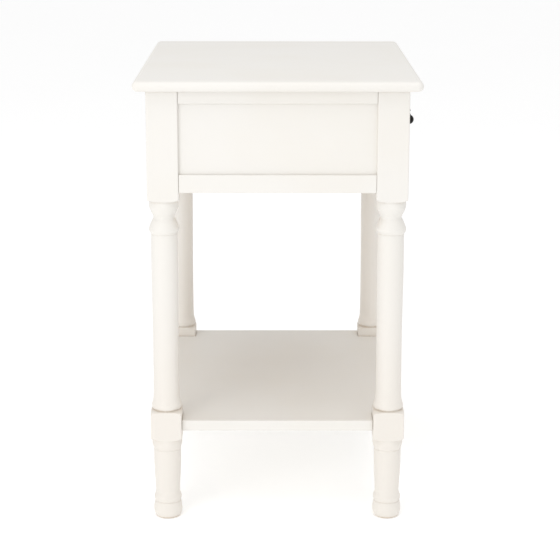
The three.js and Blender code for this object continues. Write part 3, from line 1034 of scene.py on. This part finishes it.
@dataclass
class DrawerBox:
    """The drawer: a painted front lapped over bare sides, a back and a thin bottom."""

    front_ease: float = 1.4 * MM
    box_ease: float = 0.8 * MM

    def make(self) -> None:
        """Makes the drawer's boards."""
        front = eased("drawer_front", self.front_ease, 4)
        piece("drawer_front_board", front, PaintFinish(Axis.X), "drawer_front")
        grains = {
            "drawer_side_left": Axis.Y,
            "drawer_side_right": Axis.Y,
            "drawer_back": Axis.X,
            "drawer_bottom": Axis.X,
        }
        for node, grain in grains.items():
            piece(f"{node}_board", eased(node, self.box_ease), box_wood(grain), node)


@dataclass
class DrawerRun:
    """What the drawer runs on: ledges with guides, kickers over it and stops behind it."""

    ease: float = 1.0 * MM

    def make(self) -> None:
        """Makes the runners, kickers and stops."""
        for side in SIDE_NAMES:
            for part in ("runner", "kicker", "stop"):
                node = f"drawer_{part}_{side}"
                piece(f"{node}_block", eased(node, self.ease), box_wood(Axis.Y), node)


@dataclass
class Screws:
    """Countersunk screws with a cross recess and a cut thread."""

    pitch: float = 2.2 * MM
    thread: float = 0.45 * MM
    head_high: float = 2.6 * MM
    rim: float = 0.25 * MM
    rim_share: float = 0.93
    plain: float = 9 * MM
    point: float = 4 * MM
    blunt: float = 0.12
    slot_share: float = 0.55
    slot_half: float = 0.45 * MM
    slot_deep: float = 1.5 * MM
    slot_narrow: float = 0.35
    sides: int = 20
    rows_each_turn: int = 6

    def build(self, node: str, axis: Axis, flip: bool) -> Mesh:
        """Makes one screw.

        Args:
            node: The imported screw.
            axis: The axis it lies along.
            flip: Whether its point is at the low end of that axis.

        Returns:
            The screw, in place.
        """
        low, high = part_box(node)
        length = (high - low)[axis.value]
        radius = (high - low)[(axis.value + 1) % 3] / 2
        shank = radius / 2
        head = (low + high) / 2
        head[axis.value] = high[axis.value] if flip else low[axis.value]
        place = along(axis, head, flip)
        count = round((length - self.head_high) / self.pitch * self.rows_each_turn)
        rings = [self._ring(radius * self.rim_share, 0.0), self._ring(radius, self.rim)]
        rings.append(self._ring(shank, self.head_high))
        for i in range(1, count + 1):
            z = self.head_high + (length - self.head_high) * i / count
            rings.append(self._thread(shank, z, length))
        bm = bmesh.new()
        skin(bm, [[place @ p for p in ring] for ring in rings])
        slots = [self._slot(radius, place, quarter) for quarter in (0, 1)]
        return cut(baked(bm, "screw"), slots)

    def _ring(self, radius: float, height: float) -> Ring:
        """A plain ring of the screw."""
        angles = [TURN * i / self.sides for i in range(self.sides)]
        return [Vector((radius * cos(a), radius * sin(a), height)) for a in angles]

    def _thread(self, shank: float, height: float, length: float) -> Ring:
        """A ring of the threaded shank, which narrows to the point.

        Args:
            shank: Radius outside the thread.
            height: Distance from the head.
            length: The screw's length.

        Returns:
            The ring, with the screw's axis on Z.
        """
        taper = min(1.0, (length - height) / self.point + self.blunt)
        cutting = 1.0 if height > self.plain else 0.0
        ring = []
        for i in range(self.sides):
            phase = (height / self.pitch - i / self.sides) % 1.0
            crest = max(0.0, 1 - abs(phase - 0.5) * 4)
            r = (shank - self.thread * cutting * (1 - crest)) * taper
            a = TURN * i / self.sides
            ring.append(Vector((r * cos(a), r * sin(a), height)))
        return ring

    def _slot(self, radius: float, place: Matrix, quarter: int) -> BMesh:
        """One arm of the cross recess.

        Args:
            radius: Radius of the head.
            place: Where the screw lies.
            quarter: How many quarter turns the arm is turned by.

        Returns:
            The shape to cut away.
        """
        bm = bmesh.new()
        reach, half = radius * self.slot_share, self.slot_half
        add_box(bm, Vector((-reach, -half, -1 * MM)), Vector((reach, half, self.slot_deep)))
        for vert in bm.verts:
            if vert.co.z > 0:
                vert.co.x *= self.slot_narrow
        turn = place @ Matrix.Rotation(quarter * TURN / 4, 4, "Z")
        bmesh.ops.transform(bm, matrix=turn, verts=bm.verts)
        return bm

    def make(self) -> None:
        """Makes the screws of the runners and of the top."""
        for end in END_NAMES:
            for side, way in SIDE_NAMES.items():
                runner = f"runner_screw_{end}_{side}"
                piece(f"{runner}_body", self.build(runner, Axis.X, way < 0), ZINC, runner)
                top = f"top_screw_{end}_{side}"
                piece(f"{top}_body", self.build(top, Axis.Z, False), ZINC, top)


@dataclass
class DropPull:
    """The pull: a rosette, a forked post on a threaded shank, a pin and a hanging ball."""

    sides: int = 48
    pin_sides: int = 24
    knuckle: float = 1.8 * MM
    cheek: float = 2.0 * MM
    eye: float = 4.0 * MM
    fork: float = 4.0 * MM
    shank: float = 2.0 * MM
    pitch: float = 0.7 * MM
    thread: float = 0.28 * MM
    clearance: float = 0.3 * MM
    washer_ease: float = 0.15 * MM
    nut_ease: float = 0.3 * MM
    tab_steps: int = 16
    voxel: float = 0.16 * MM

    def __post_init__(self) -> None:
        """Finds the pin's axis, which the pendant swings on."""
        joint = next(j for j in frame["joints"] if j["name"] == "pull_swing")
        self.pivot = Vector(joint["pos_m"])

    def rosette(self) -> BMesh:
        """The stepped, domed plate against the drawer front.

        Returns:
            The plate, in place.
        """
        low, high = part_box("pull_rosette")
        r = (high.x - low.x) / 2
        thick = high.y - low.y
        line = Profile(self.shank + self.clearance, 0.0)
        line.line(r - 0.4 * MM, 0.0)
        line.bend((r, 0.0), r, 0.5 * MM, 4)
        line.bend((r, 1.1 * MM), r - 1.2 * MM, 1.2 * MM, 5)
        line.line(r - 2.2 * MM, 1.2 * MM)
        line.bend((r - 2.5 * MM, 0.9 * MM), r - 3.0 * MM, 1.3 * MM, 4)
        line.bend((r * 0.55, thick - 0.1 * MM), r * 0.3, thick, 10)
        line.line(self.shank + self.clearance, thick)
        bm = bmesh.new()
        place = along(Axis.Y, Vector((self.pivot.x, high.y, self.pivot.z)), flip=True)
        lathe(bm, line.points, self.sides, place, hollow=True)
        return bm

    def _tab(self, bm: BMesh, x: float, reach: float) -> None:
        """A flat cheek with a round end about the pin, reaching back to the post.

        Args:
            bm: The mesh to add to.
            x: Its lower face on X.
            reach: How far back it goes.
        """
        outline = [(reach, self.knuckle), (reach, -self.knuckle)]
        for i in range(self.tab_steps + 1):
            a = radians(270 - 180 * i / self.tab_steps)
            outline.append((self.knuckle * cos(a), self.knuckle * sin(a)))
        origin = Vector((x, self.pivot.y, self.pivot.z))
        skin(bm, [[origin + Vector((dx, y, z)) for y, z in outline] for dx in (0.0, self.cheek)])

    def _bore(self) -> BMesh:
        """The hole for the pin, right through the fork and the eye.

        Returns:
            The shape to cut away.
        """
        low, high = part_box("pull_pin")
        radius = (high.z - low.z) / 2 + self.clearance
        start = Vector((low.x - 1 * MM, self.pivot.y, self.pivot.z))
        bm = bmesh.new()
        lathe(bm, [(radius, 0.0), (radius, high.x - low.x + 2 * MM)], self.sides, along(Axis.X, start))
        return bm

    def post(self) -> Mesh:
        """The turned post, its fork and its shank, with the pin's hole through it.

        Returns:
            The post, in place.
        """
        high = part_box("pull_post")[1]
        fork = self.fork
        length = high.y - (self.pivot.y + fork)
        seat = length - (high.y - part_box("pull_rosette")[0].y) - self.clearance
        line = Profile(0.6 * MM, 0.0)
        line.line(2.6 * MM, 0.0)
        line.bend((3.0 * MM, 0.0), 3.0 * MM, 0.5 * MM, 4)
        line.line(3.0 * MM, 1.6 * MM)
        line.bend((2.3 * MM, 2.2 * MM), 2.3 * MM, 3.4 * MM, 6)
        line.bend((2.3 * MM, seat - 3.0 * MM), 3.2 * MM, seat - 1.4 * MM, 6)
        line.bend((4.0 * MM, seat - 0.8 * MM), 4.0 * MM, seat - 0.2 * MM, 5)
        line.line(3.8 * MM, seat)
        line.line(self.shank, seat)
        z = seat + 1.0 * MM
        while z < length - self.pitch:
            line.line(self.shank, z)
            line.line(self.shank - self.thread, z + self.pitch / 2)
            z += self.pitch
        line.line(self.shank - 0.4 * MM, length)
        bm = bmesh.new()
        start = Vector((self.pivot.x, self.pivot.y + fork, self.pivot.z))
        lathe(bm, line.points, self.sides, along(Axis.Y, start))
        inner = self.eye / 2 + self.clearance
        for face in (inner, -inner - self.cheek):
            self._tab(bm, face, fork + 1.0 * MM)
        outer = Vector((inner + self.cheek, fork, self.knuckle))
        add_box(
            bm,
            self.pivot + Vector((-outer.x, outer.y, -outer.z)),
            self.pivot + Vector((outer.x, outer.y + 2.0 * MM, outer.z)),
        )
        return cut(remeshed(bm, self.voxel), [self._bore()])

    def pendant(self) -> Mesh:
        """The hanging piece: an eye round the pin, a slim neck, a collar and a ball.

        Returns:
            The pendant, in place.
        """
        low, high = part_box("pull_pendant")
        ball = (high.x - low.x) / 2
        drop = high.z - self.knuckle - low.z - ball - 0.6 * MM
        line = Profile(0.2 * MM, -drop - ball - 0.6 * MM)
        line.bend((1.5 * MM, -drop - ball - 0.6 * MM), 1.7 * MM, -drop - ball + 0.3 * MM, 4)
        line.round((0.0, -drop), ball, -74, 68, 30)
        line.bend((2.2 * MM, ball - drop + 0.1 * MM), 2.3 * MM, ball - drop + 0.5 * MM, 4)
        line.bend((2.4 * MM, ball - drop + 1.1 * MM), 1.7 * MM, ball - drop + 1.4 * MM, 4)
        line.bend((1.2 * MM, ball - drop + 2.4 * MM), 1.2 * MM, -self.knuckle + 0.4 * MM, 6)
        bm = bmesh.new()
        lathe(bm, line.points, self.sides, Matrix.Translation(self.pivot))
        half = self.eye / 2
        ring = Profile(self.knuckle - 0.3 * MM, -half)
        ring.bend((self.knuckle, -half), self.knuckle, 0.3 * MM - half, 3)
        ring.line(self.knuckle, half - 0.3 * MM)
        ring.bend((self.knuckle, half), self.knuckle - 0.3 * MM, half, 3)
        lathe(bm, ring.points, self.sides, along(Axis.X, self.pivot))
        return cut(remeshed(bm, self.voxel), [self._bore()])

    def pin(self) -> BMesh:
        """The cross pin, with its ends rounded over.

        Returns:
            The pin, in place.
        """
        low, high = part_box("pull_pin")
        r, length = (high.z - low.z) / 2, high.x - low.x
        line = Profile(0.3 * MM, 0.0)
        line.bend((r, 0.0), r, 0.4 * MM, 4)
        line.line(r, length - 0.4 * MM)
        line.bend((r, length), 0.3 * MM, length, 4)
        bm = bmesh.new()
        lathe(bm, line.points, self.pin_sides, along(Axis.X, Vector((low.x, self.pivot.y, self.pivot.z))))
        return bm

    def make(self) -> None:
        """Makes every piece of the pull."""
        piece("pull_rosette_plate", self.rosette(), BLACK_GLOSS, "pull_rosette")
        piece("pull_post_casting", self.post(), BLACK_GLOSS, "pull_post")
        piece("pull_pin_bar", self.pin(), BLACK_GLOSS, "pull_pin")
        piece("pull_pendant_casting", self.pendant(), BLACK_GLOSS, "pull_pendant")
        for node, ease in (("pull_washer", self.washer_ease), ("pull_nut", self.nut_ease)):
            piece(f"{node}_ring", eased(node, ease, 2), ZINC, node)


# ---- the studio


@dataclass(frozen=True)
class Softbox:
    """A square light: its name, place, width and power in watts."""

    name: str
    place: Place
    size: float
    power: float


@dataclass
class Studio:
    """A pale floor, a white surround, soft light and the camera."""

    eye: Place = (-2.4054, 0.01, 0.9073)
    pitch: float = 13.27
    yaw: float = -0.242
    roll: float = -0.078
    lens: float = 106.24
    shift: float = -0.06
    floor_size: float = 30.0
    surround_strength: float = 0.79
    middle: Place = (0.0, 0.0, 0.35)
    softboxes: tuple[Softbox, ...] = (
        Softbox("overhead", (-0.7, 0.0, 2.4), 2.0, 13.5),
        Softbox("key", (-2.6, 1.5, 1.3), 1.5, 17.3),
    )

    def camera(self) -> None:
        """Places the camera at one side of the table, a little above it, looking along +X."""
        pitch, yaw, roll = (radians(a) for a in (self.pitch, self.yaw, self.roll))
        ahead = Vector((cos(pitch) * cos(yaw), cos(pitch) * sin(yaw), -sin(pitch)))
        right = Vector((sin(yaw), -cos(yaw), 0.0))
        up = right.cross(ahead)
        level = Matrix((right, up, -ahead)).transposed().to_4x4()
        lens = bpy.data.cameras.new("camera")
        lens.lens = self.lens
        lens.shift_y = self.shift
        holder = placed("camera", lens)
        holder.matrix_world = Matrix.Translation(self.eye) @ level @ Matrix.Rotation(-roll, 4, "Z")
        bpy.context.scene.camera = holder

    def floor(self) -> None:
        """Lays the floor."""
        bm = bmesh.new()
        bmesh.ops.create_grid(bm, x_segments=8, y_segments=8, size=self.floor_size / 2)
        mesh = bpy.data.meshes.new("floor")
        bm.to_mesh(mesh)
        bm.free()
        mesh.materials.append(material_of(FloorFinish()))
        placed("floor", mesh)

    def surround(self) -> None:
        """Lights everything evenly from a white surround."""
        world = bpy.data.worlds.new("surround")
        world.use_nodes = True
        background = world.node_tree.nodes["Background"]
        background.inputs["Color"].default_value = WHITE
        background.inputs["Strength"].default_value = self.surround_strength
        bpy.context.scene.world = world

    def hang(self, box: Softbox) -> None:
        """Hangs a softbox aimed at the middle of the table.

        Args:
            box: The softbox.
        """
        light = bpy.data.lights.new(box.name, "AREA")
        light.size = box.size
        light.energy = box.power
        holder = placed(box.name, light)
        aim = Vector(self.middle) - Vector(box.place)
        turn = aim.to_track_quat("-Z", "Y").to_matrix().to_4x4()
        holder.matrix_world = Matrix.Translation(box.place) @ turn

    def make(self) -> None:
        """Sets the studio up."""
        bpy.context.scene.view_settings.view_transform = "Standard"
        self.camera()
        self.floor()
        self.surround()
        for box in self.softboxes:
            self.hang(box)


def main() -> None:
    """Builds the studio and every group of pieces, in order."""
    logging.basicConfig(level=logging.INFO, format="%(name)s: %(message)s")
    Studio().make()
    for group in (Legs(), TableTop(), Apron(), Shelf(), DrawerRun(), DrawerBox(), Screws(), DropPull()):
        log.info("making %s", type(group).__name__)
        group.make()


if __name__ == "__main__":
    main()
